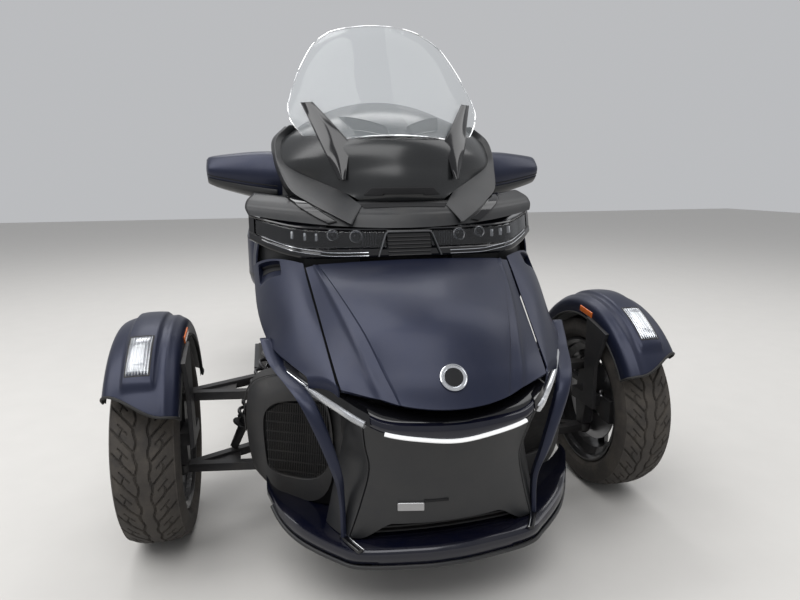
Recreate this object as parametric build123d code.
from build123d import *
import os
from math import cos, radians, sin

# Driving sizes in millimetres. X points to the vehicle's left, Y to the rear, Z up.
# Every place in the tables below is measured from the front axle line on the ground;
# ROW_SHIFT moves the finished solids so that the origin is the middle of the footprint.
WHEELBASE = 1714
FRONT_OVERHANG = 600
REAR_OVERHANG = 519
OVERALL_HEIGHT = 1464
FRONT_TRACK = 1384
GROUND_CLEARANCE = 140
ROW_SHIFT = (FRONT_OVERHANG - WHEELBASE - REAR_OVERHANG) / 2

# Wheels and tyres
RIM_DIAMETER = 381
FRONT_TYRE_WIDTH = 165
FRONT_TYRE_ASPECT = 0.55
FRONT_RIM_WIDTH = 127
REAR_TYRE_WIDTH = 225
REAR_TYRE_ASPECT = 0.50
REAR_RIM_WIDTH = 178
FLANGE_HEIGHT = 12
FLANGE_THICKNESS = 6
TYRE_WALL = 11
SPOKE_COUNT = 6
FRONT_SPINDLE_RADIUS = 15
REAR_AXLE_RADIUS = 12
DISC_RADIUS = 135
DISC_THICKNESS = 5
SPROCKET_RADIUS = 100
BELT_WIDTH = 24
BELT_THICKNESS = 6

# Fits and gaps
RUNNING_CLEARANCE = 0.05
SEAT_GAP = 0.3
MOVING_GAP = 6
HINGE_PIN_RADIUS = 6
HINGE_LUG_WALL = 5
HINGE_PIN_HALF = 30
HINGE_LUG_HALF = 15

# Front suspension and steering
KINGPIN_INSET = 52
KINGPIN_PIN_RADIUS = 9
UPPER_ARM_Z = 401
LOWER_ARM_Z = 183
ARM_THICKNESS = 24
ARM_PIVOT_X = 235
STEERING_ARM = 120
TIE_ROD_RADIUS = 8
RACK_RADIUS = 13

# Body walls
PANEL_WALL = 4
CASE_WALL = 5

FRONT_TYRE_RADIUS = RIM_DIAMETER / 2 + FRONT_TYRE_WIDTH * FRONT_TYRE_ASPECT
REAR_TYRE_RADIUS = RIM_DIAMETER / 2 + REAR_TYRE_WIDTH * REAR_TYRE_ASPECT
WHEEL_X = FRONT_TRACK / 2
KINGPIN_X = WHEEL_X - KINGPIN_INSET
FRONT_AXLE = (0, FRONT_TYRE_RADIUS)
REAR_AXLE = (WHEELBASE, REAR_TYRE_RADIUS)


# The tables give places along the vehicle for the table's wheelbase. Behind the front bay they
# stretch with the wheelbase up to the swingarm's pivot, and move with the rear wheel behind it.
TABLE_WHEELBASE = 1714
STRETCH_FROM = 262
STRETCH_TO = 1110


def along(y):
    growth = WHEELBASE - TABLE_WHEELBASE
    share = min(max((y - STRETCH_FROM) / (STRETCH_TO - STRETCH_FROM), 0), 1)
    return y + growth * share


def along_all(points, place=0):
    """The same points, each with the value at one place moved along with the wheelbase."""
    return [point[:place] + (along(point[place]),) + point[place + 1:] for point in points]


# Helpers

def closed(points):
    return Wire.make_polygon([Vector(*point) for point in points], close=True)


def lofted(sections, ruled=True):
    return Solid.make_loft([closed(section) for section in sections], ruled=ruled)


def block(x, y, z):
    return Solid.make_box(x[1] - x[0], y[1] - y[0], z[1] - z[0], Plane(origin=(x[0], y[0], z[0])))


def rod(start, end, radius):
    start, end = Vector(*start), Vector(*end)
    run = end - start
    return Solid.make_cylinder(radius, run.length, Plane(origin=start, z_dir=run))


def beam(start, end, width, height):
    """Straight beam of rectangular section; width is level, height is upright."""
    start, end = Vector(*start), Vector(*end)
    run = end - start
    side = run.cross(Vector(0, 0, 1)).normalized()
    up = side.cross(run).normalized()
    corner = start - side * (width / 2) + up * (height / 2)
    return Solid.make_box(width, height, run.length, Plane(origin=corner, x_dir=side, z_dir=run))


def side_prism(outline, x):
    """Side view outline of (y, z) points, carried across from x[0] to x[1]."""
    face = Face(closed([(x[0], y, z) for y, z in outline]))
    return Solid.extrude(face, Vector(x[1] - x[0], 0, 0))


def turned(points):
    """Solid of revolution about the X axis from (x, radius) points."""
    return Solid.revolve(Face(closed([(x, 0, r) for x, r in points])), 360, Axis.X)


def ring(x, inner, outer):
    return turned([(x[0], inner), (x[1], inner), (x[1], outer), (x[0], outer)])


def joined(*solids):
    return solids[0].fuse(*solids[1:])


def trimmed(solid, *neighbours):
    """The largest piece left when the neighbours' space is taken out."""
    return max(solid.cut(*neighbours).solids(), key=lambda piece: piece.volume)


def both_sides(solid):
    return [solid, solid.mirror(Plane.YZ)]


def placed(solid, x=0, y=0, z=0):
    return solid.moved(Location((x, y, z)))


def walled(line, wall, inside):
    """Closed section: a flat open line of points and its copy, one wall towards inside."""
    points = [Vector(*point) for point in line]
    chord = (points[-1] - points[0]).normalized()
    middle = (points[0] + points[-1]) * 0.5
    other = points[len(points) // 2] if len(points) > 2 else Vector(*inside)
    normal = chord.cross(other - points[0]).normalized()
    depth = normal.cross(chord)
    if depth.dot(Vector(*inside) - middle) < 0:
        depth = depth * -1
    return points + [point + depth * wall for point in reversed(points)]


def bow(edge, crown, shoulder=None):
    """Curved line from the right edge over the middle to the left edge, with its chord.

    edge is (x, y, z) of the left edge, crown is (y, z) in the middle, and shoulder is
    (x, share of the way from edge to crown), where a straight flank meets the arc.
    """
    x, y, z = edge
    left = Vector(x, y, z)
    right = Vector(-x, y, z)
    top = Vector(0, *crown)
    if shoulder is None:
        arc = Edge.make_three_point_arc(right, top, left)
        return Wire([arc, Edge.make_line(left, right)])
    shoulder_x, share = shoulder
    rise = (crown[0] - y) * share, (crown[1] - z) * share
    left_knee = Vector(shoulder_x, y + rise[0], z + rise[1])
    right_knee = Vector(-shoulder_x, y + rise[0], z + rise[1])
    return Wire([
        Edge.make_line(right, right_knee),
        Edge.make_three_point_arc(right_knee, top, left_knee),
        Edge.make_line(left_knee, left),
        Edge.make_line(left, right),
    ])


# Wheels, each built round the X axis with its outer face towards +X

def tyre(width, aspect, rim_width):
    radius = RIM_DIAMETER / 2 + width * aspect
    foot = RIM_DIAMETER / 2 + SEAT_GAP
    lip = RIM_DIAMETER / 2 + FLANGE_HEIGHT + 2
    bead = rim_width / 2 - SEAT_GAP
    half = width / 2
    side = radius - RIM_DIAMETER / 2
    outer = [
        (bead, foot), (bead, lip), (half - 4, lip + side * 0.14), (half, lip + side * 0.32),
        (half - 4, radius - side * 0.26), (half - 16, radius - side * 0.08), (half * 0.42, radius),
    ]
    inner = [
        (half - 2 * TYRE_WALL, radius - 2 * TYRE_WALL), (half - TYRE_WALL, lip + side * 0.32),
        (bead - TYRE_WALL, lip), (bead - TYRE_WALL, foot),
    ]
    profile = [(-x, r) for x, r in outer] + list(reversed(outer))
    profile += list(reversed(inner)) + [(-x, r) for x, r in inner]
    return turned(profile)


def rim(rim_width, hub_x, bore_radius, spoke_x, spoke_tip_x, bore_depth=None):
    half = rim_width / 2
    seat = RIM_DIAMETER / 2
    well = seat - 22
    wall = 6
    outer = [
        (half + FLANGE_THICKNESS, seat + FLANGE_HEIGHT), (half, seat + FLANGE_HEIGHT), (half, seat),
        (half - 18, seat), (half - 30, well),
    ]
    inner = [
        (half - 27, well - wall), (half - 16, seat - wall), (half - 2, seat - wall),
        (half + FLANGE_THICKNESS, seat + wall),
    ]
    profile = outer + [(-x, r) for x, r in reversed(outer)]
    profile += [(-x, r) for x, r in reversed(inner)] + inner
    barrel = turned(profile)
    hub = turned([(hub_x[0], 0), (hub_x[1], 0), (hub_x[1], 38), (spoke_x[1], 46), (hub_x[0], 46)])
    spokes = []
    for number in range(SPOKE_COUNT):
        spoke = lofted([
            [(spoke_x[0], -23, 30), (spoke_x[1], -17, 30), (spoke_x[1], 17, 30), (spoke_x[0], 23, 30)],
            [(spoke_tip_x[0], -20, well - 3), (spoke_tip_x[1], -11, well - 3),
             (spoke_tip_x[1], 11, well - 3), (spoke_tip_x[0], 20, well - 3)],
        ])
        spokes.append(spoke.rotate(Axis.X, 360 / SPOKE_COUNT * number))
    depth = hub_x[1] if bore_depth is None else bore_depth
    bore = turned([(hub_x[0] - 1, 0), (depth, 0), (depth, bore_radius), (hub_x[0] - 1, bore_radius)])
    return joined(barrel, hub, *spokes).cut(bore)


# Front corner: places along the wheel's axis, from its middle, outer side positive
FRONT_HUB = (-25, 44)
FRONT_DISC = (FRONT_HUB[0] - DISC_THICKNESS, FRONT_HUB[0])
KNUCKLE_FACE = FRONT_DISC[0] - MOVING_GAP
KNUCKLE_BACK = KNUCKLE_FACE - 34
SPINDLE_TIP = 30


def front_wheel():
    """Tyre, rim and brake disc of the left front wheel."""
    at = dict(x=WHEEL_X, y=FRONT_AXLE[0], z=FRONT_AXLE[1])
    bore = FRONT_SPINDLE_RADIUS + RUNNING_CLEARANCE
    wheel_rim = rim(FRONT_RIM_WIDTH, FRONT_HUB, bore, (6, 36), (18, 36), SPINDLE_TIP + 4)
    disc = ring(FRONT_DISC, bore, DISC_RADIUS)
    holes = [
        rod((FRONT_DISC[0] - 1, 0, 70), (FRONT_DISC[1] + 1, 0, 70), 13).rotate(Axis.X, 60 * n)
        for n in range(6)
    ]
    disc = disc.cut(*holes)
    rubber = tyre(FRONT_TYRE_WIDTH, FRONT_TYRE_ASPECT, FRONT_RIM_WIDTH)
    return [placed(piece, **at) for piece in (rubber, wheel_rim, disc)]


# Fender: (offset from the tyre's middle, height over the tread) across its crown, outer side first
FENDER_SECTION = [
    (x, FRONT_TYRE_RADIUS + gap)
    for x, gap in ((85, 14), (84, 36), (68, 56), (22, 68), (-30, 68), (-74, 59), (-91, 41), (-92, 9))
]
FENDER_SWEEP = (-60, 72)
LAMP_SWEEP = (-43, -22)
STAY_Y = (-130, -70)
STAY_X = (KINGPIN_X - 52, WHEEL_X + FENDER_SECTION[-1][0])


def swept_round_axle(points, sweep):
    """Closed (x, radius) outline turned about the front axle between two angles from upright."""
    face = Face(closed([(WHEEL_X + x, 0, FRONT_AXLE[1] + r) for x, r in points]))
    axle = Axis((0, FRONT_AXLE[0], FRONT_AXLE[1]), (1, 0, 0))
    start = face.rotate(axle, -sweep[0])
    return Solid.revolve(start, sweep[0] - sweep[1], axle)


def inward(section, wall):
    """The same line one wall nearer to the axle, its skirts moved in as well."""
    last = len(section) - 1
    line = []
    for number, (x, r) in enumerate(section):
        if number in (0, last):
            line.append((x - wall if x > 0 else x + wall, r))
        else:
            line.append((x * (1 - wall / 85), r - wall))
    return line


# Raised strip over the fender and the lens in it, as the fender's section is given
BLISTER = [(36, 62), (30, 76), (-26, 78), (-40, 64)]
FENDER_LENS = [(28, 72), (24, 84), (-22, 86), (-30, 74)]


def over_tread(section):
    return [(x, FRONT_TYRE_RADIUS + gap) for x, gap in section]


def fender():
    shell = FENDER_SECTION + list(reversed(inward(FENDER_SECTION, PANEL_WALL)))
    skin = swept_round_axle(shell, FENDER_SWEEP)
    return joined(skin, swept_round_axle(over_tread(BLISTER), (-48, 30)))


def fender_lamp(skin):
    return trimmed(swept_round_axle(over_tread(FENDER_LENS), LAMP_SWEEP), skin)


def knuckle():
    """Upright with its spindle, kingpin pins, steering arm, caliper and fender stay."""
    body_x = (WHEEL_X + KNUCKLE_BACK, WHEEL_X + KNUCKLE_FACE)
    axle_z = FRONT_AXLE[1]
    low = LOWER_ARM_Z + ARM_THICKNESS / 2 + 1
    high = UPPER_ARM_Z - ARM_THICKNESS / 2 - 1
    pin = ARM_THICKNESS / 2 + 10
    upright = lofted([
        [(body_x[0], -18, low), (body_x[1], -18, low), (body_x[1], 18, low), (body_x[0], 18, low)],
        [(body_x[0], -34, axle_z), (body_x[1], -34, axle_z), (body_x[1], 34, axle_z),
         (body_x[0], 34, axle_z)],
        [(body_x[0], -18, high), (body_x[1], -18, high), (body_x[1], 18, high), (body_x[0], 18, high)],
    ])
    spindle = rod((body_x[0] + 5, 0, axle_z), (WHEEL_X + SPINDLE_TIP, 0, axle_z), FRONT_SPINDLE_RADIUS)
    kingpin = rod((KINGPIN_X, 0, low - pin), (KINGPIN_X, 0, high + pin), KINGPIN_PIN_RADIUS)
    arm_z = (TIE_ROD_Z - TIE_ROD_EYE / 2 - 1 - 16, TIE_ROD_Z - TIE_ROD_EYE / 2 - 1)
    steering_arm = block((KINGPIN_X - 11, KINGPIN_X + 11), (0, STEERING_ARM), arm_z)
    steering_eye = Solid.make_cylinder(
        15, arm_z[1] - arm_z[0], Plane(origin=(KINGPIN_X, STEERING_ARM, arm_z[0])))
    jaw_x = (WHEEL_X + FRONT_DISC[0] - MOVING_GAP - 14, WHEEL_X + FRONT_DISC[1] + MOVING_GAP + 12)
    caliper = block(jaw_x, (-142, -84), (axle_z - 36, axle_z + 36))
    slot = placed(
        turned([(FRONT_DISC[0] - MOVING_GAP, 0), (FRONT_DISC[1] + MOVING_GAP, 0),
                (FRONT_DISC[1] + MOVING_GAP, DISC_RADIUS + MOVING_GAP),
                (FRONT_DISC[0] - MOVING_GAP, DISC_RADIUS + MOVING_GAP)]), WHEEL_X, 0, axle_z)
    caliper = caliper.cut(slot)
    carrier = block((jaw_x[0], WHEEL_X + KNUCKLE_FACE), (-100, 0), (axle_z - 24, axle_z + 24))
    foot = block((STAY_X[0], body_x[0] + 5), (-110, 0), (axle_z + 14, axle_z + 50))
    stay = side_prism([
        (STAY_Y[1], axle_z + 14), (STAY_Y[1], axle_z + 296), (STAY_Y[0] - 50, axle_z + 266),
        (STAY_Y[0], axle_z + 150), (STAY_Y[0], axle_z + 14)], STAY_X)
    pieces = [spindle, kingpin, steering_arm, steering_eye, *caliper.solids(), carrier, foot, stay]
    return joined(upright, *pieces)


TIE_ROD_EYE = 20
TIE_ROD_Z = 356


def arm_with_eye(z, rear_y):
    """A-shaped arm from its two inner pivots to the eye round the kingpin."""
    eye_radius = 20
    half = ARM_THICKNESS / 2
    eye = Solid.make_cylinder(eye_radius, ARM_THICKNESS, Plane(origin=(KINGPIN_X, 0, z - half)))
    tip = KINGPIN_X - 10
    legs = [beam((tip, 0, z), (ARM_PIVOT_X, y, z), 26, ARM_THICKNESS) for y in (-60, rear_y)]
    web = Solid.extrude(Face(closed([
        (tip, -10, z - 4), (tip - 150, -10 - 17, z - 4), (tip - 150, 60, z - 4), (tip, 10, z - 4)])),
        Vector(0, 0, 8))
    pin = rod((KINGPIN_X, 0, z - ARM_THICKNESS), (KINGPIN_X, 0, z + ARM_THICKNESS),
              KINGPIN_PIN_RADIUS + RUNNING_CLEARANCE)
    return joined(eye, *legs, web).cut(pin)


FRONT_DAMPER = (KINGPIN_X - 140, 70, 200), (345, 70, 535)
REAR_DAMPER = (0, along(1325), 373), (0, along(1250), 530)


def shock(low, high, radius):
    """Damper with its spring, drawn as a turned body with a groove between the coils."""
    low, high = Vector(*low), Vector(*high)
    run = high - low
    length = run.length
    coils = 6
    spring_start, spring_end = length * 0.22, length * 0.9
    pitch = (spring_end - spring_start) / coils
    points = [(0, 0), (0, radius * 0.3), (spring_start, radius * 0.3), (spring_start, radius)]
    for coil in range(coils):
        base = spring_start + pitch * coil
        groove = (base + pitch * 0.78, radius * 0.7)
        points += [(base + pitch * 0.55, radius), groove, (base + pitch, radius)]
    cap, neck = spring_end + 8, radius * 0.45
    points += [(cap, radius), (cap, neck), (length, neck), (length, 0)]
    body = turned(points)
    return Plane(origin=low, x_dir=run, z_dir=run.cross(Vector(1, 0.3, 0))).location * body


# Hood and what it covers. The hood's edges lie in one sloping plane, the parting plane.
PARTING_TOP = (-165, 778)
PARTING_SLOPE = 0.6145


def parting_z(y):
    return PARTING_TOP[1] + (y - PARTING_TOP[0]) * PARTING_SLOPE


# Hood stations: edge x, edge y, crown y, crown z, shoulder x, shoulder share
HOOD_STATIONS = [
    (277, -165, -173, 791, 245, 0.55),
    (263, -285, -318, 766, 212, 0.55),
    (250, -400, -470, 699, 172, 0.56),
    (240, -480, -560, 600, 140, 0.60),
    (235, -512, -601, 534, 118, 0.72),
]
HOOD_HINGE = (-174, 776)
HOOD_LUGS = [(-115, -85), (85, 115)]
HOOD_PIN_HALF = 135


def hood():
    sections = [
        bow((x, y, parting_z(y)), (crown_y, crown_z), (shoulder_x, share))
        for x, y, crown_y, crown_z, shoulder_x, share in HOOD_STATIONS
    ]
    lid = Solid.make_loft(sections, ruled=False)
    y, z = HOOD_HINGE
    lug_radius = HINGE_PIN_RADIUS + HINGE_LUG_WALL
    clearance = joined(
        rod((-HOOD_PIN_HALF - 18, y, z), (HOOD_PIN_HALF + 18, y, z), lug_radius + 2),
        *[rod((side - 12, y, z), (side + 12, y, z), 18) for side in (-HOOD_PIN_HALF, HOOD_PIN_HALF)])
    lugs = [
        joined(rod((a, y, z), (b, y, z), lug_radius), block((a, b), (y - 24, y), (z - 8, z + 8)))
        for a, b in HOOD_LUGS
    ]
    bore = rod((-HOOD_PIN_HALF, y, z), (HOOD_PIN_HALF, y, z), HINGE_PIN_RADIUS + RUNNING_CLEARANCE)
    return trimmed(lid, clearance).fuse(*lugs).cut(bore)


# Front storage tub: side view outline, below the parting plane
TUB_HALF_WIDTH = 218
TUB_FLOOR_Z = 400
TUB_FRONT_Y = -470
TUB_BACK_Y = -196


def tub_outline(wall, rim_drop):
    """Side view of the tub, wall inside its outer faces, its rim below the parting plane."""
    front, back, floor = TUB_FRONT_Y + wall, TUB_BACK_Y - wall, TUB_FLOOR_Z + wall
    lip_y = front - 22
    return [
        (back, parting_z(back) - rim_drop), (back, floor), (front + 30, floor), (lip_y, floor + 110),
        (lip_y, parting_z(lip_y) - rim_drop),
    ]


def trunk_tub():
    outer = side_prism(tub_outline(0, SEAT_GAP), (-TUB_HALF_WIDTH, TUB_HALF_WIDTH))
    inner = side_prism(
        tub_outline(CASE_WALL, -60), (-TUB_HALF_WIDTH + CASE_WALL, TUB_HALF_WIDTH - CASE_WALL))
    y, z = HOOD_HINGE
    shell = outer.cut(inner)
    pin = rod((-HOOD_PIN_HALF, y, z), (HOOD_PIN_HALF, y, z), HINGE_PIN_RADIUS)
    bracket = [(y - 6, z - 7), (y - 6, z + 7), (y + 19, z + 7), (y + 19, 700), (TUB_BACK_Y - 2, 700),
               (TUB_BACK_Y - 2, 712), (y + 7, 712), (y + 7, z - 7)]
    brackets = [side_prism(bracket, (side - 5, side + 5)) for side in (-HOOD_PIN_HALF, HOOD_PIN_HALF)]
    return joined(shell, pin, *brackets)


# Side panels beside the hood: inner edge, middle and outer edge at each station
PANEL_GAP = MOVING_GAP
SIDE_PANEL_STATIONS = [
    ((277 + PANEL_GAP, -150, 787), (365, -75, 792), (414, 0, 762)),
    ((271 + PANEL_GAP, -215, 747), (358, -170, 735), (409, -112, 662)),
    ((262 + PANEL_GAP, -290, 701), (334, -270, 682), (392, -215, 611)),
    ((251 + PANEL_GAP, -385, 643), (310, -355, 634), (369, -310, 597)),
    ((238 + PANEL_GAP, -500, 572), (268, -465, 580), (306, -428, 572)),
]


def side_panel():
    inside = (150, 100, 400)
    sections = [walled(line, PANEL_WALL, inside) for line in SIDE_PANEL_STATIONS]
    return lofted(sections)


# Strake stations: middle of the blade (x, y, z), width across, thickness along Y
STRAKE_STATIONS = [
    (362, -338, 577, 40, 16),
    (304, -478, 524, 34, 18),
    (252, -506, 385, 24, 18),
    (236, -482, 292, 14, 16),
    (234, -486, 192, 12, 14),
]


def strake():
    return lofted([
        [(x - w / 2, y, z), (x + w / 2, y, z), (x + w / 2, y + t, z), (x - w / 2, y + t, z)]
        for x, y, z, w, t in STRAKE_STATIONS
    ])


# Bumper bar under the hood: x, front y, top z, bottom z
BAR_STATIONS = [
    (0, -596, 500, 458), (80, -594, 504, 468), (154, -584, 512, 484), (200, -552, 528, 500),
    (236, -510, 543, 514), (300, -424, 566, 538), (348, -342, 584, 556),
]
BAR_DEPTH = 42


def across(stations, depth, drop=0):
    """Closed side sections at each x, mirrored to both sides, front edge first."""
    def section(x, y, top, bottom):
        return [(x, y, top), (x, y + 4, bottom), (x, y + depth, bottom - drop), (x, y + depth, top)]
    left = [section(*station) for station in stations]
    right = [section(-x, y, top, bottom) for x, y, top, bottom in reversed(stations[1:])]
    return right + left


def bumper_bar():
    return lofted(across(BAR_STATIONS, BAR_DEPTH))


def light_bar():
    """Thin bright bar along the lower front edge of the bumper bar."""
    stations = [(x, y - 4, bottom + 9, bottom - 3) for x, y, top, bottom in BAR_STATIONS[:3]]
    return lofted(across(stations, 12))


def accent_lens():
    """Ribbed lamp along the bar's front from its bend outwards."""
    sections = []
    for x, y, top, bottom in BAR_STATIONS[2:]:
        sections.append([(x + 2, y - 5, top - 4), (x + 2, y - 3, bottom + 3),
                         (x + 2, y + 9, bottom + 3), (x + 2, y + 9, top - 4)])
    return lofted(sections)


# Nose panel stations: edge x, edge y, z, crown y, and x and y where its side return ends
NOSE_STATIONS = [
    (196, -548, 500, -588, 218, -504), (177, -508, 370, -556, 226, -410), (222, -486, 196, -520, 262, -400),
]
NOSE_WALL = 8


def nose_panel():
    def section(x, y, z, crown):
        back = y + NOSE_WALL
        outer = Edge.make_three_point_arc((-x, y, z), (0, crown, z), (x, y, z))
        inner = Edge.make_three_point_arc((x, back, z), (0, crown + NOSE_WALL, z), (-x, back, z))
        ends = [Edge.make_line((side, y, z), (side, back, z)) for side in (x, -x)]
        return Wire([outer, ends[0], inner, ends[1]])
    front = Solid.make_loft([section(*station[:4]) for station in NOSE_STATIONS], ruled=True)
    side = lofted([
        [(x, y, z), (end_x, end_y, z), (end_x - NOSE_WALL, end_y, z), (x - NOSE_WALL, y + NOSE_WALL, z)]
        for x, y, z, crown, end_x, end_y in NOSE_STATIONS
    ])
    return joined(front, *both_sides(side))


# Lower lip: x, front y, top z, bottom z
LIP_STATIONS = [
    (0, -556, 190, GROUND_CLEARANCE), (70, -552, 190, GROUND_CLEARANCE),
    (200, -530, 190, GROUND_CLEARANCE + 2), (255, -498, 194, GROUND_CLEARANCE + 8),
    (328, -438, 214, GROUND_CLEARANCE + 25), (372, -378, 232, GROUND_CLEARANCE + 46),
    (402, -318, 268, GROUND_CLEARANCE + 86),
]
LIP_BACK_Y = -300
SKID_Z = (150, 158)


def lower_lip():
    def section(x, y, top, bottom):
        back = LIP_BACK_Y + 20
        return [(x, y, top), (x, y + 22, bottom), (x, back, bottom + 4), (x, back, top - 8)]
    left = [section(*station) for station in LIP_STATIONS]
    right = [section(-x, y, top, bottom) for x, y, top, bottom in reversed(LIP_STATIONS[1:])]
    return lofted(right + left)


# Radiator housing. Its mouth lies in an upright plane turned outwards, and each loop round it
# is given as (x, z) points, starting low outside, with its distance behind that plane.
MOUTH_CORNER = (395, -262)
MOUTH_SLOPE = 0.5
HOUSING_LOOPS = [
    (0, [(400, 214), (412, 330), (414, 404), (404, 446), (368, 470), (300, 480), (236, 482), (236, 192)]),
    (38, [(426, 218), (446, 326), (448, 420), (434, 480), (392, 512), (310, 526), (236, 528), (236, 196)]),
    (105, [(424, 220), (444, 326), (446, 424), (430, 486), (390, 516), (310, 530), (236, 532), (236, 198)]),
]
HOLE_LOOP = [(393, 266), (400, 330), (402, 402), (394, 434), (364, 458), (300, 468), (246, 470), (246, 260)]
CORE_PLACE = (14, 60)


def housing_loop(back, loop):
    return [(x, MOUTH_CORNER[1] + (x - MOUTH_CORNER[0]) * MOUTH_SLOPE + back, z) for x, z in loop]


def radiator_shroud():
    outer = lofted([housing_loop(back, loop) for back, loop in HOUSING_LOOPS])
    return outer.cut(lofted([housing_loop(back, HOLE_LOOP) for back in (-1, HOUSING_LOOPS[-1][0] + 1)]))


def radiator_core():
    return lofted([housing_loop(back, HOLE_LOOP) for back in CORE_PLACE])


# Lamp band across the front: x, front y, bottom z, top z
BAND_STATIONS = [
    (0, -170, 798, 872), (140, -168, 798, 873), (277, -142, 797, 880), (355, -75, 812, 892),
    (418, 0, 838, 906),
]
BAND_BACK_Y = 45
# Dark filler under the band's ends: x, front y, bottom z
NECK_STATIONS = [(130, -120, 742), (277, -108, 736), (355, -42, 730), (392, 2, 722)]
NECK_DEPTH = 30


def lamp_band():
    def section(x, y, bottom, top):
        back = max(BAND_BACK_Y, y + 45)
        return [(x, y, bottom), (x, y + 20, top), (x, back, top), (x, back, bottom)]
    left = [section(*station) for station in BAND_STATIONS]
    right = [section(-x, y, bottom, top) for x, y, bottom, top in reversed(BAND_STATIONS[1:])]
    return lofted(right + left)


def cowl_neck():
    """Filler that closes the gap between the band's left end and the side panel."""
    top = BAND_STATIONS[-1][3]
    return lofted([
        [(x, y, low), (x, y, top), (x, y + NECK_DEPTH, top), (x, y + NECK_DEPTH, low)]
        for x, y, low in NECK_STATIONS
    ])


def head_lamp_lens(inset, height_share):
    """Lens set into the band: from near the middle out to the tip."""
    sections = []
    for x, y, bottom, top in [(58, -169, 798, 872)] + BAND_STATIONS[1:4] + [(404, -20, 832, 903)]:
        low = bottom + (top - bottom) * height_share[0]
        high = bottom + (top - bottom) * height_share[1]
        lean = 20 / (top - bottom)
        sections.append([
            (x, y + (low - bottom) * lean - 1, low), (x, y + (high - bottom) * lean - 1, high),
            (x, y + (high - bottom) * lean + inset, high), (x, y + (low - bottom) * lean + inset, low)])
    return lofted(sections)


# Upper cowl: edge x, y, z and crown y, z
COWL_STATIONS = [((418, 6, 906), (-152, 873)), ((423, 25, 938), (-132, 915)), ((404, 62, 968), (-104, 936))]
# Cheeks beside the dash: z, inner x, front y inside, outer x, front y outside, back y
CHEEK_STATIONS = [
    (925, 110, -70, 408, 40, 170),
    (950, 110, -70, 332, 10, 175),
    (1043, 300, 100, 336, 98, 240),
    (1117, 300, 172, 332, 160, 250),
    (1152, 262, 190, 282, 176, 250),
]


def upper_cowl():
    brow = Solid.make_loft([bow(edge, crown) for edge, crown in COWL_STATIONS], ruled=True)
    pieces = [brow]
    for side in (1, -1):
        pieces.append(lofted([
            [(side * inner, front, z), (side * outer, front_out, z), (side * (outer - 12), back, z),
             (side * inner, back, z)]
            for z, inner, front, outer, front_out, back in CHEEK_STATIONS
        ]))
    return joined(*pieces)


# Dash hood, the glossy dome under the windshield: edge x, y, z and crown y, z
DASH_STATIONS = [
    ((110, -60, 926), (-66, 924)),
    ((117, -84, 957), (-92, 955)),
    ((224, 10, 1000), (-80, 1030)),
    ((318, 98, 1043), (-45, 1110)),
    ((318, 165, 1113), (75, 1188)),
    ((272, 235, 1150), (258, 1240)),
]


def dash_hood():
    return Solid.make_loft([bow(edge, crown) for edge, crown in DASH_STATIONS], ruled=True)


# Instrument display on the dash hood's rear face: half width, bottom and top z, thickness
DISPLAY_HALF = 105
DISPLAY_Z = (1163, 1216)
DISPLAY_THICKNESS = 9


def display():
    (edge_y, edge_z), (crown_y, crown_z) = DASH_STATIONS[-1][0][1:], DASH_STATIONS[-1][1]
    lean = (crown_y - edge_y) / (crown_z - edge_z)
    low, high = DISPLAY_Z
    face = [(edge_y + (z - edge_z) * lean, z) for z in (low, high)]
    outline = face + [(y + DISPLAY_THICKNESS, z) for y, z in reversed(face)]
    return side_prism(outline, (-DISPLAY_HALF, DISPLAY_HALF))


# Windshield: edge x, y, z and crown y, z from its foot to its top
WINDSHIELD_STATIONS = [
    ((232, 70, 1095), (-48, 1118)),
    ((290, 150, 1190), (30, 1215)),
    ((262, 210, 1300), (118, 1325)),
    ((205, 262, 1405), (190, 1420)),
    ((150, 288, 1452), (232, OVERALL_HEIGHT)),
]
WINDSHIELD_WALL = 4


def windshield():
    wires = []
    for (x, y, z), (crown_y, crown_z) in WINDSHIELD_STATIONS:
        left, right, top = Vector(x, y, z), Vector(-x, y, z), Vector(0, crown_y, crown_z)
        back = (Vector(0, y, z) - top).normalized() * WINDSHIELD_WALL
        wires.append(Wire([
            Edge.make_three_point_arc(right, top, left),
            Edge.make_line(left, left + back),
            Edge.make_three_point_arc(left + back, top + back, right + back),
            Edge.make_line(right + back, right),
        ]))
    return Solid.make_loft(wires, ruled=False)


# Deflector fin: z, inner edge (x, y), outer edge (x, y), thickness
FIN_STATIONS = [
    (1000, (156, -62), (170, -56), 12), (1050, (146, -46), (190, -22), 12),
    (1095, (136, -24), (209, 10), 11),
    (1150, (174, 22), (228, 58), 9), (1219, (226, 92), (254, 114), 6),
]


def deflector_fin():
    return lofted([
        [(*inner, z), (*outer, z), (outer[0], outer[1] + wall, z), (inner[0], inner[1] + wall, z)]
        for z, inner, outer, wall in FIN_STATIONS
    ])


# Mirror pod: x, front y, back y, bottom z, top z
MIRROR_STATIONS = [
    (318, 110, 235, 936, 1084), (430, 150, 262, 958, 1082), (520, 190, 262, 984, 1072),
    (538, 214, 250, 1000, 1062),
]


def mirror_pod():
    return lofted([
        [(x, front, (low + high) / 2), (x, front + 26, low), (x, back, low), (x, back, high),
         (x, front + 30, high)]
        for x, front, back, low, high in MIRROR_STATIONS
    ])


# Mirror glass on the pod's rear face: x, bottom z, top z
GLASS_STATIONS = [(438, 974, 1072), (516, 994, 1062)]
GLASS_THICKNESS = 3


def mirror_glass():
    back = MIRROR_STATIONS[1][2]
    rear = back + GLASS_THICKNESS
    return lofted([
        [(x, back, low), (x, rear, low), (x, rear, high), (x, back, high)]
        for x, low, high in GLASS_STATIONS
    ])


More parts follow.
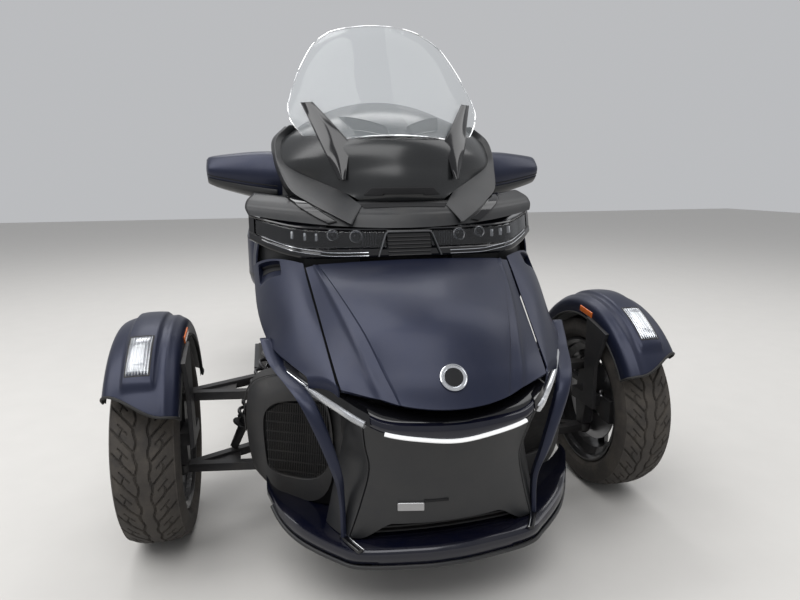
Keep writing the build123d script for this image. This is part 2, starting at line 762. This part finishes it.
# Middle fairings: y and the (x, z) line from the lower edge up
FAIRING_STATIONS = [
    (-10, (392, 612), (411, 700), (414, 780), (406, 832)),
    (120, (378, 545), (402, 680), (400, 810), (372, 928)),
    (260, (335, 410), (370, 600), (360, 780), (300, 925)),
    (520, (272, 335), (300, 520), (270, 700), (180, 845)),
    (780, (238, 345), (252, 480), (222, 590), (150, 640)),
]


def mid_fairing():
    sections = []
    for y, *line in FAIRING_STATIONS:
        outer = [(x, along(y), z) for x, z in line]
        inner = [(x - PANEL_WALL, along(y), z) for x, z in reversed(line)]
        sections.append(outer + inner)
    return lofted(sections)


# Console between the dash and the seat: y, half width, bottom z, top z
CONSOLE_STATIONS = [
    (46, 205, 562, 1120), (270, 196, 520, 1160), (330, 150, 482, 940), (560, 135, 482, 930),
    (700, 120, 482, 860), (790, 105, 482, 690),
]


def console():
    return lofted([
        [(-half, y, low), (half, y, low), (half, y, high - 40), (half - 36, y, high), (-half + 36, y, high),
         (-half, y, high - 40)]
        for y, half, low, high in along_all(CONSOLE_STATIONS)
    ])


CASE_FLOOR_Z = 840

# Rear body in side view, below the seats and over the wheel
REAR_BODY_HALF = 140
REAR_BODY = along_all([
    (640, 482), (1150, 482), (1380, 560), (1714, 660), (2040, 560), (2120, 560), (2190, 700),
    (2150, CASE_FLOOR_Z), (1640, CASE_FLOOR_Z), (1600, 762), (1236, 742), (1176, 640), (800, 610),
    (640, 600),
])
WHEEL_ARCH = 48


def rear_body():
    solid = side_prism(REAR_BODY, (-REAR_BODY_HALF, REAR_BODY_HALF))
    arch = rod((-200, *REAR_AXLE), (200, *REAR_AXLE), REAR_TYRE_RADIUS + WHEEL_ARCH)
    return trimmed(solid, arch)


# Tail lamp on the rear body's sloping back: x, bottom z, top z, thickness
TAIL_LAMP_X = (34, 128)
TAIL_LAMP_Z = (716, 822)
TAIL_LAMP_THICKNESS = 12


def tail_lamp():
    (low_y, low_z), (high_y, high_z) = REAR_BODY[6], REAR_BODY[7]
    lean = (high_y - low_y) / (high_z - low_z)
    low, high = [(low_y + (z - low_z) * lean, z) for z in TAIL_LAMP_Z]
    outline = [low, high, (high[0] + TAIL_LAMP_THICKNESS, high[1]), (low[0] + TAIL_LAMP_THICKNESS, low[1])]
    return side_prism(outline, TAIL_LAMP_X)


# Seats: side view outline of (y, z) points and half width
RIDER_SEAT = [
    (800, 610), (1176, 640), (1224, 735), (1215, 800), (1160, 772), (1040, 755), (900, 768), (800, 790),
]
PASSENGER_SEAT = [(1236, 742), (1600, 762), (1612, 850), (1560, 872), (1400, 862), (1262, 846)]
SEAT_HALF = (165, 175)


def seat(outline, half):
    return side_prism(along_all(outline), (-half, half))


# Side bag: height over its floor, outer x, front y, back y; the lid is all outside the parting
BAG_INNER_X = REAR_BODY_HALF
BAG_PARTING_X = 310
BAG_FLOOR_Z = REAR_TYRE_RADIUS + 122
BAG_STATIONS = [
    (0, 395, 1440, 2010), (45, 440, 1410, 2060), (215, 470, 1390, 2090), (335, 440, 1400, 2080),
    (375, 380, 1430, 2050),
]
BAG_HINGE = (BAG_PARTING_X + 6, BAG_FLOOR_Z - 13)
BAG_HINGE_YS = (1520, 1860)
BAG_CORNER = (60, 70)


def bag_solid(shrink):
    sections = []
    last = len(BAG_STATIONS) - 1
    for number, (rise, outer, front, back) in enumerate(BAG_STATIONS):
        level = BAG_FLOOR_Z + rise + {0: shrink, last: -shrink}.get(number, 0)
        x = (BAG_INNER_X + shrink, outer - shrink)
        y = (along(front) + shrink, along(back) - shrink)
        cut_x, cut_y = x[1] - BAG_CORNER[0], BAG_CORNER[1]
        sections.append([
            (x[0], y[0], level), (cut_x, y[0], level), (x[1], y[0] + cut_y, level),
            (x[1], y[1] - cut_y, level), (cut_x, y[1], level), (x[0], y[1], level)])
    return lofted(sections)


def side_bag():
    """Left bag and its lid, split at an upright plane, with a bottom hinge."""
    shell = bag_solid(0).cut(bag_solid(CASE_WALL))
    reach, height = (along(1300), along(2200)), (BAG_FLOOR_Z - 125, BAG_FLOOR_Z + 475)
    inner = shell.cut(block((BAG_PARTING_X, 600), reach, height))
    lid = shell.cut(block((0, BAG_PARTING_X + SEAT_GAP), reach, height))
    x, z = BAG_HINGE
    bag_parts, lid_parts = [], []
    for middle in [along(y) for y in BAG_HINGE_YS]:
        pin_y = (middle - HINGE_PIN_HALF, middle + HINGE_PIN_HALF)
        lug_y = (middle - HINGE_LUG_HALF, middle + HINGE_LUG_HALF)
        bag_parts.append(rod((x, pin_y[0], z), (x, pin_y[1], z), HINGE_PIN_RADIUS))
        for ear in pin_y:
            ear_y = (ear - 4, ear + 4)
            bag_parts.append(block((BAG_PARTING_X - 30, x + 5), ear_y, (z - 5, z + 5)))
            bag_parts.append(block((BAG_PARTING_X - 30, BAG_PARTING_X - 4), ear_y, (z - 5, BAG_FLOOR_Z + 5)))
        lug = rod((x, lug_y[0], z), (x, lug_y[1], z), HINGE_PIN_RADIUS + HINGE_LUG_WALL)
        lid_parts.append(joined(lug, block((x - 3, x + 18), lug_y, (z, BAG_FLOOR_Z + 2))))
    bore = rod((x, reach[0], z), (x, reach[1], z), HINGE_PIN_RADIUS + RUNNING_CLEARANCE)
    bag = joined(inner, *bag_parts)
    return bag, joined(lid, *lid_parts).cut(bore)


# Top case: z, half width, front y, back y
CASE_SPLIT_Z = 1010
CASE_STATIONS = [
    (CASE_FLOOR_Z, 235, 1665, 2150), (900, 280, 1652, 2205), (CASE_SPLIT_Z, 292, 1650, 2222),
    (1080, 290, 1655, TABLE_WHEELBASE + REAR_OVERHANG), (1190, 270, 1672, 2205), (1225, 220, 1720, 2130),
]
CASE_HINGE = (along(1632), CASE_SPLIT_Z + 2)
CASE_HINGE_XS = (-160, 160)
# How far the parting blocks stand out past the case
CUTTER_MARGIN = 60


def case_solid(shrink):
    sections = []
    last = len(CASE_STATIONS) - 1
    for number, (z, half, front, back) in enumerate(CASE_STATIONS):
        level = z + shrink if number == 0 else z - shrink if number == last else z
        x, y = half - shrink, (along(front) + shrink, along(back) - shrink)
        sections.append([
            (-x + 50, y[0], level), (x - 50, y[0], level), (x, y[0] + 60, level), (x, y[1] - 110, level),
            (x - 80, y[1], level), (-x + 80, y[1], level), (-x, y[1] - 110, level), (-x, y[0] + 60, level)])
    return lofted(sections)


def top_case():
    """Fixed tub and hinged lid, split at a level plane, with a hinge at the front."""
    shell = case_solid(0).cut(case_solid(CASE_WALL))
    levels, halves, fronts, backs = zip(*CASE_STATIONS)
    across = (-max(halves) - CUTTER_MARGIN, max(halves) + CUTTER_MARGIN)
    reach = (along(min(fronts)) - CUTTER_MARGIN, along(max(backs)) + CUTTER_MARGIN)
    tub = shell.cut(block(across, reach, (CASE_SPLIT_Z, max(levels) + CUTTER_MARGIN)))
    lid = shell.cut(block(across, reach, (min(levels) - CUTTER_MARGIN, CASE_SPLIT_Z + SEAT_GAP)))
    y, z = CASE_HINGE
    tub_parts, lid_parts = [], []
    for middle in CASE_HINGE_XS:
        pin_x = (middle - HINGE_PIN_HALF, middle + HINGE_PIN_HALF)
        lug_x = (middle - HINGE_LUG_HALF, middle + HINGE_LUG_HALF)
        tub_parts.append(rod((pin_x[0], y, z), (pin_x[1], y, z), HINGE_PIN_RADIUS))
        for ear in pin_x:
            tub_parts.append(block((ear - 4, ear + 4), (y - 5, y + 5), (z - 24, z + 5)))
            tub_parts.append(block((ear - 4, ear + 4), (y - 5, y + 23), (z - 30, z - 18)))
        lug = rod((lug_x[0], y, z), (lug_x[1], y, z), HINGE_PIN_RADIUS + HINGE_LUG_WALL)
        lid_parts.append(joined(lug, block(lug_x, (y, y + 25), (z + 1, z + 10))))
    bore = rod((-200, y, z), (200, y, z), HINGE_PIN_RADIUS + RUNNING_CLEARANCE)
    return joined(tub, *tub_parts), joined(lid, *lid_parts).cut(bore)


# Backrest pad on the lid: z, half width, front y, back y
BACKREST_STATIONS = [(1032, 170, 1580, 1668), (1190, 150, 1600, 1690)]


def backrest():
    return lofted([
        [(-half, along(front), z), (half, along(front), z), (half, along(back), z), (-half, along(back), z)]
        for z, half, front, back in BACKREST_STATIONS
    ])


# Swingarm, belt and rear wheel
SWINGARM_PIVOT = (along(STRETCH_TO), 330)
SPROCKET_X = (128, 128 + BELT_WIDTH)
LEFT_LEG_X = (SPROCKET_X[1] + 10, SPROCKET_X[1] + 40)
REAR_DISC_X = (-120, -120 + DISC_THICKNESS)
RIGHT_LEG_X = (REAR_DISC_X[0] - 40, REAR_DISC_X[0] - 10)
CROSS_TUBE = (along(1300), 330)
FRONT_PULLEY = (SWINGARM_PIVOT[0] - 25, 330)
PULLEY_RADIUS = 45


def swingarm():
    legs = []
    for x in (LEFT_LEG_X, RIGHT_LEG_X):
        start_y = CROSS_TUBE[0] if x[0] > 0 else SWINGARM_PIVOT[0]
        legs.append(side_prism([
            (start_y - 40, 295), (start_y - 40, 365), (REAR_AXLE[0], REAR_AXLE[1] + 38),
            (REAR_AXLE[0] + 45, REAR_AXLE[1] + 20), (REAR_AXLE[0] + 45, REAR_AXLE[1] - 20),
            (REAR_AXLE[0], REAR_AXLE[1] - 38)], x))
    cross = rod((RIGHT_LEG_X[0] + 5, *CROSS_TUBE), (LEFT_LEG_X[1] - 5, *CROSS_TUBE), 32)
    pivot = rod((RIGHT_LEG_X[0] + 5, *SWINGARM_PIVOT), (118, *SWINGARM_PIVOT), 25)
    link = block((60, 110), (SWINGARM_PIVOT[0], CROSS_TUBE[0]), (305, 355))
    axle = rod((RIGHT_LEG_X[0] - 8, *REAR_AXLE), (LEFT_LEG_X[1] + 8, *REAR_AXLE), REAR_AXLE_RADIUS)
    ear = block((-22, 22), (CROSS_TUBE[0] - 20, CROSS_TUBE[0] + 45), (350, 372))
    return joined(*legs, cross, pivot, link, axle, ear)


def belt_loop(growth):
    """Side view of the belt's path, grown outwards, as a prism across the belt's width."""
    small, large = PULLEY_RADIUS + SEAT_GAP + growth, SPROCKET_RADIUS + 0.5 + growth
    x = SPROCKET_X
    rounds = [
        rod((x[0], *middle), (x[1], *middle), radius)
        for middle, radius in ((FRONT_PULLEY, small), (REAR_AXLE, large))
    ]
    run = Vector(0, REAR_AXLE[0] - FRONT_PULLEY[0], REAR_AXLE[1] - FRONT_PULLEY[1])
    span = run.length
    ahead = run.normalized()
    up = Vector(0, -ahead.Z, ahead.Y)
    rise = (small - large) / span
    level = (1 - rise * rise) ** 0.5
    corners = []
    for sign in (1, -1):
        normal = ahead * rise + up * (level * sign)
        for centre, radius in ((FRONT_PULLEY, small), (REAR_AXLE, large)):
            corners.append(Vector(x[0], *centre) + normal * radius)
    outline = [corners[0], corners[1], corners[3], corners[2]]
    middle = Solid.extrude(Face(closed([tuple(corner) for corner in outline])), Vector(x[1] - x[0], 0, 0))
    return joined(middle, *rounds)


def drive_belt():
    return belt_loop(BELT_THICKNESS).cut(belt_loop(0))


def rear_wheel():
    at = dict(x=0, y=REAR_AXLE[0], z=REAR_AXLE[1])
    bore = REAR_AXLE_RADIUS + RUNNING_CLEARANCE
    hub_x = (REAR_DISC_X[1], SPROCKET_X[0])
    wheel_rim = rim(REAR_RIM_WIDTH, hub_x, bore, (-20, 22), (-14, 16))
    disc = ring(REAR_DISC_X, bore, DISC_RADIUS)
    sprocket = ring(SPROCKET_X, bore, SPROCKET_RADIUS)
    rubber = tyre(REAR_TYRE_WIDTH, REAR_TYRE_ASPECT, REAR_RIM_WIDTH)
    return [placed(piece, **at) for piece in (rubber, wheel_rim, disc, sprocket)]


# Handlebar: joints of the left half, from the stem out to the grip's end
BAR_POINTS = [(0, 452, 985), (110, 462, 992), (290, 530, 1012), (330, 560, 1010), (425, 655, 985)]
BAR_RADIUS = 11
GRIP_RADIUS = 17
GRIP_SETBACK = 12
STEM_RADIUS = 16
STEER_POINT = (0, 430, 925)
STEER_TILT = 20


def steer_axis():
    return Vector(0, sin(radians(STEER_TILT)), cos(radians(STEER_TILT)))


def handlebar():
    pieces = []
    foot = Vector(*STEER_POINT) - steer_axis() * 60
    head = Vector(*STEER_POINT) + steer_axis() * 66
    pieces.append(rod(tuple(foot), tuple(head), STEM_RADIUS))
    for start, end in zip(BAR_POINTS, BAR_POINTS[1:]):
        half = rod(start, end, BAR_RADIUS)
        joint = Solid.make_sphere(BAR_RADIUS, Plane(origin=end), -90, 90, 360)
        pieces += [half, half.mirror(Plane.YZ)]
        if end != BAR_POINTS[-1]:
            pieces += [joint, joint.mirror(Plane.YZ)]
    clamp = block((-40, 40), (430, 474), (968, 1004))
    return joined(*pieces, clamp)


def grip():
    start, end = Vector(*BAR_POINTS[-2]), Vector(*BAR_POINTS[-1])
    outwards = (end - start).normalized()
    first = start + outwards * GRIP_SETBACK
    tube = rod(tuple(first), tuple(end), GRIP_RADIUS)
    hole = rod(tuple(first - outwards), tuple(end + outwards), BAR_RADIUS + RUNNING_CLEARANCE)
    return tube.cut(hole)


def tie_rods():
    ends = [(side * KINGPIN_X, STEERING_ARM, TIE_ROD_Z) for side in (-1, 1)]
    pieces = [rod(*ends, TIE_ROD_RADIUS)]
    rack = rod((-215, STEERING_ARM, TIE_ROD_Z), (215, STEERING_ARM, TIE_ROD_Z), RACK_RADIUS)
    pieces.append(rack)
    for side in (-1, 1):
        plane = Plane(origin=(side * KINGPIN_X, STEERING_ARM, TIE_ROD_Z - TIE_ROD_EYE / 2))
        pieces.append(Solid.make_cylinder(14, TIE_ROD_EYE, plane))
    return joined(*pieces)


def steering_rack():
    length = 150
    tube = rod((-length, STEERING_ARM, TIE_ROD_Z), (length, STEERING_ARM, TIE_ROD_Z), 27)
    ends = [(x, STEERING_ARM, TIE_ROD_Z) for x in (-length - 1, length + 1)]
    bore = rod(*ends, RACK_RADIUS + RUNNING_CLEARANCE)
    return tube.cut(bore)


ENGINE_X, ENGINE_Y, ENGINE_Z = (-195, 195), (STRETCH_FROM, along(640)), (150, 482)
FRAME_RAIL_X = (195, 219)
FRAME_RAIL_Z = (262, 312)
FRAME_BACK_Y = SWINGARM_PIVOT[0] + 15
CARRIER_Y = (FRAME_BACK_Y - 125, FRAME_BACK_Y)
BOX_WALL_X = (205, 235)
BOX_OUTLINE = [(-80, 158), (-80, 560), (60, 640), (235, 560), (235, 158)]
BOX_WINDOW = (70, 290, 62)
BOX_FRONT_Y = (-80, -60)
MAST_X = 120
TUB_SHELF_Z = (520, 560)


def chassis():
    """Front box with the arm pivots, side rails round the engine, and the swingarm's carrier."""
    rack_line = [(-300, STEERING_ARM, TIE_ROD_Z), (300, STEERING_ARM, TIE_ROD_Z)]
    pieces = [block((-228, 228), (LIP_BACK_Y + 20, 215), SKID_Z)]
    wall = side_prism(BOX_OUTLINE, BOX_WALL_X)
    window_y, window_z, window_radius = BOX_WINDOW
    window = rod((0, window_y, window_z), (BOX_WALL_X[1] + 1, window_y, window_z), window_radius)
    pieces += both_sides(wall.cut(window))
    pieces.append(block((-BOX_WALL_X[0], BOX_WALL_X[0]), BOX_FRONT_Y, (158, 560)))
    rack_seat_y = (STEERING_ARM - 18, STEERING_ARM + 18)
    pieces.append(block((-BOX_WALL_X[0], BOX_WALL_X[0]), rack_seat_y, (158, TIE_ROD_Z - 5)))
    pieces.append(block((-130, 130), (TUB_BACK_Y, BOX_FRONT_Y[1]), TUB_SHELF_Z))
    pieces.append(block((-MAST_X, MAST_X), (BOX_FRONT_Y[1] - 2, 46), (TUB_SHELF_Z[1], 830)))
    pieces.append(block((-206, 206), (BOX_FRONT_Y[1] - 10, 46), (TUB_SHELF_Z[1] - 20, TUB_SHELF_Z[1] + 2)))
    pieces += both_sides(block(FRAME_RAIL_X, (234, FRAME_BACK_Y), FRAME_RAIL_Z))
    carrier_x = SPROCKET_X[0] - 12
    cross_x = (-FRAME_RAIL_X[1], carrier_x)
    pieces.append(block(cross_x, (ENGINE_Y[1] + 1, ENGINE_Y[1] + 41), FRAME_RAIL_Z))
    pieces.append(block(cross_x, CARRIER_Y, (FRAME_RAIL_Z[0], 392)))
    pieces += both_sides(block((90, carrier_x), CARRIER_Y, (380, 483)))
    whole = joined(*pieces)
    return whole.cut(rod(*rack_line, RACK_RADIUS + MOVING_GAP), steering_rack(), swingarm())


# Footboard outlines: x, front y, back y at the inner and the outer edge, and top and bottom
RIDER_BOARD = [(262, 470, 850), (440, 500, 830)]
RIDER_BOARD_Z = (300, 316)
PASSENGER_BOARD = (215, 380), (1120, 1340), (440, 456)
BOARD_ARM = 40


def footboards():
    """Rider and passenger boards of the left side, each with the arm that carries it."""
    low, high = RIDER_BOARD_Z
    rider = lofted([
        [(x, along(front), low), (x, along(back), low), (x, along(back), high), (x, along(front), high)]
        for x, front, back in RIDER_BOARD
    ])
    arm_y = (along(560), along(560) + BOARD_ARM)
    rider_arm = block((FRAME_RAIL_X[1], 330), arm_y, (low - 16, low))
    x, y, z = PASSENGER_BOARD
    passenger = block(x, (along(y[0]), along(y[1])), z)
    post_y = (CARRIER_Y[1] - 35, CARRIER_Y[1] + 15)
    under = (z[0] - 20, z[0])
    passenger_arm = block((SPROCKET_X[0] - 12, x[0] + 45), (post_y[0], CARRIER_Y[1] - 1), under)
    passenger_post = block((x[0], x[0] + 45), post_y, under)
    return [joined(rider, rider_arm), joined(passenger, passenger_arm, passenger_post)]


# Exhaust: outlet's place on the engine's right face, pipe and can as (point, point, radius)
PIPE_RADIUS = 28
PIPE_POINTS = [(ENGINE_X[0] + 5, along(600), 225), (-232, along(600), 225), (-240, along(1190), 228)]
CAN_POINTS = [(-262, along(1180), 232), (-262, along(1720), 262)]
CAN_RADIUS = 58


def muffler():
    outlet = rod(PIPE_POINTS[0], PIPE_POINTS[1], PIPE_RADIUS)
    elbow = Solid.make_sphere(PIPE_RADIUS, Plane(origin=PIPE_POINTS[1]), -90, 90, 360)
    pipe = rod(PIPE_POINTS[1], PIPE_POINTS[2], PIPE_RADIUS)
    return joined(outlet, elbow, pipe, rod(*CAN_POINTS, CAN_RADIUS))


def write(name, *solids):
    in_place = [solid.moved(Location((0, ROW_SHIFT, 0))) for solid in solids]
    shape = in_place[0] if len(in_place) == 1 else Compound(children=in_place)
    export_step(shape, f"parts/{name}.step")


def main():
    os.makedirs("parts", exist_ok=True)
    front_tyre, front_rim, front_disc = front_wheel()
    skin = fender()
    upright = knuckle()
    lamp = fender_lamp(skin)
    for side, index in (("left", 0), ("right", 1)):
        write(f"{side}_tyre", both_sides(front_tyre)[index])
        write(f"{side}_rim", both_sides(front_rim)[index])
        write(f"{side}_disc", both_sides(front_disc)[index])
        write(f"{side}_fender", both_sides(skin)[index])
        write(f"{side}_fender_lamp", both_sides(lamp)[index])
        write(f"{side}_knuckle", both_sides(upright)[index])
    rear_tyre, rear_rim, rear_disc, sprocket = rear_wheel()
    write("rear_tyre", rear_tyre)
    write("rear_rim", rear_rim)
    write("rear_disc_sprocket", rear_disc, sprocket)
    write("tie_rods", tie_rods())
    write("steering_rack", steering_rack())

    lid = hood()
    panel = side_panel()
    bar = bumper_bar()
    lip = lower_lip()
    tub = trimmed(trunk_tub(), bar)
    nose = trimmed(nose_panel(), lip, bar, tub)
    bright_bar = trimmed(light_bar(), bar)
    accent = trimmed(accent_lens(), bar, panel)
    blade = trimmed(strake(), bar, nose, panel, accent)
    lens = head_lamp_lens(14, (0.22, 0.78))
    band = lamp_band().cut(lens, lens.mirror(Plane.YZ))
    cowl = trimmed(upper_cowl(), band)
    dome = trimmed(dash_hood(), cowl)
    screen = trimmed(windshield(), dome, cowl)
    fins = [trimmed(fin, screen, dome, cowl) for fin in both_sides(deflector_fin())]
    pods = [trimmed(pod, cowl) for pod in both_sides(mirror_pod())]
    neck = trimmed(cowl_neck(), band, cowl, panel)
    fairing = trimmed(mid_fairing(), band, cowl, panel, neck)
    shroud = trimmed(radiator_shroud(), lip, bar)
    core = trimmed(radiator_core(), shroud, lip, tub)
    engine = block(ENGINE_X, ENGINE_Y, ENGINE_Z)
    stem_ends = [tuple(Vector(*STEER_POINT) + steer_axis() * reach) for reach in (-70, 90)]
    stem_bore = rod(*stem_ends, STEM_RADIUS + RUNNING_CLEARANCE)
    centre = trimmed(console(), dome, cowl, band, screen, engine).cut(stem_bore)
    frame = trimmed(chassis(), tub, band, centre, engine)
    arms = [trimmed(arm_with_eye(z, 200), frame) for z in (UPPER_ARM_Z, LOWER_ARM_Z)]
    tail = trimmed(rear_body(), centre, frame)
    dampers = both_sides(trimmed(shock(*FRONT_DAMPER, 32), *arms))
    rear_damper = trimmed(shock(*REAR_DAMPER, 36), tail, swingarm())
    boards = footboards()
    bag, bag_lid = side_bag()
    case, case_lid = top_case()

    write("chassis", frame)
    write("engine_block", engine)
    write("suspension_arms", *[piece for arm in arms for piece in both_sides(arm)])
    write("shock_absorbers", *dampers, rear_damper)
    write("trunk_tub", tub)
    write("hood", lid)
    write("side_panels", *both_sides(panel))
    write("strakes", *both_sides(blade))
    write("bumper_bar", bar)
    write("nose_lamps", bright_bar, *both_sides(accent))
    write("nose_panel", nose)
    write("lower_lip", lip)
    write("radiator_shrouds", *both_sides(shroud))
    write("radiator_cores", *both_sides(core))
    write("lamp_band", band)
    write("head_lamps", *both_sides(lens))
    write("upper_cowl", cowl)
    write("cowl_necks", *both_sides(neck))
    write("dash_hood", dome)
    write("instrument_display", trimmed(display(), centre))
    write("windshield", screen)
    write("deflector_fins", *fins)
    write("mirror_pods", *pods)
    write("mirror_glasses", *both_sides(mirror_glass()))
    write("mid_fairings", *both_sides(fairing))
    write("console", centre)
    write("rear_body", tail)
    write("tail_lamps", *both_sides(tail_lamp()))
    write("rider_seat", seat(RIDER_SEAT, SEAT_HALF[0]))
    write("passenger_seat", trimmed(seat(PASSENGER_SEAT, SEAT_HALF[1]), *both_sides(bag)))
    write("footboards", *[piece for board in boards for piece in both_sides(board)])
    write("muffler", trimmed(muffler(), engine, frame))
    write("swingarm", swingarm())
    write("drive_belt", drive_belt())
    write("left_bag", bag)
    write("left_bag_lid", bag_lid)
    write("right_bag", bag.mirror(Plane.YZ))
    write("right_bag_lid", bag_lid.mirror(Plane.YZ))
    write("top_case", case)
    write("top_case_lid", case_lid)
    write("backrest", trimmed(backrest(), case_lid))
    write("handlebar", handlebar())
    write("grips", *both_sides(grip()))


if __name__ == "__main__":
    main()
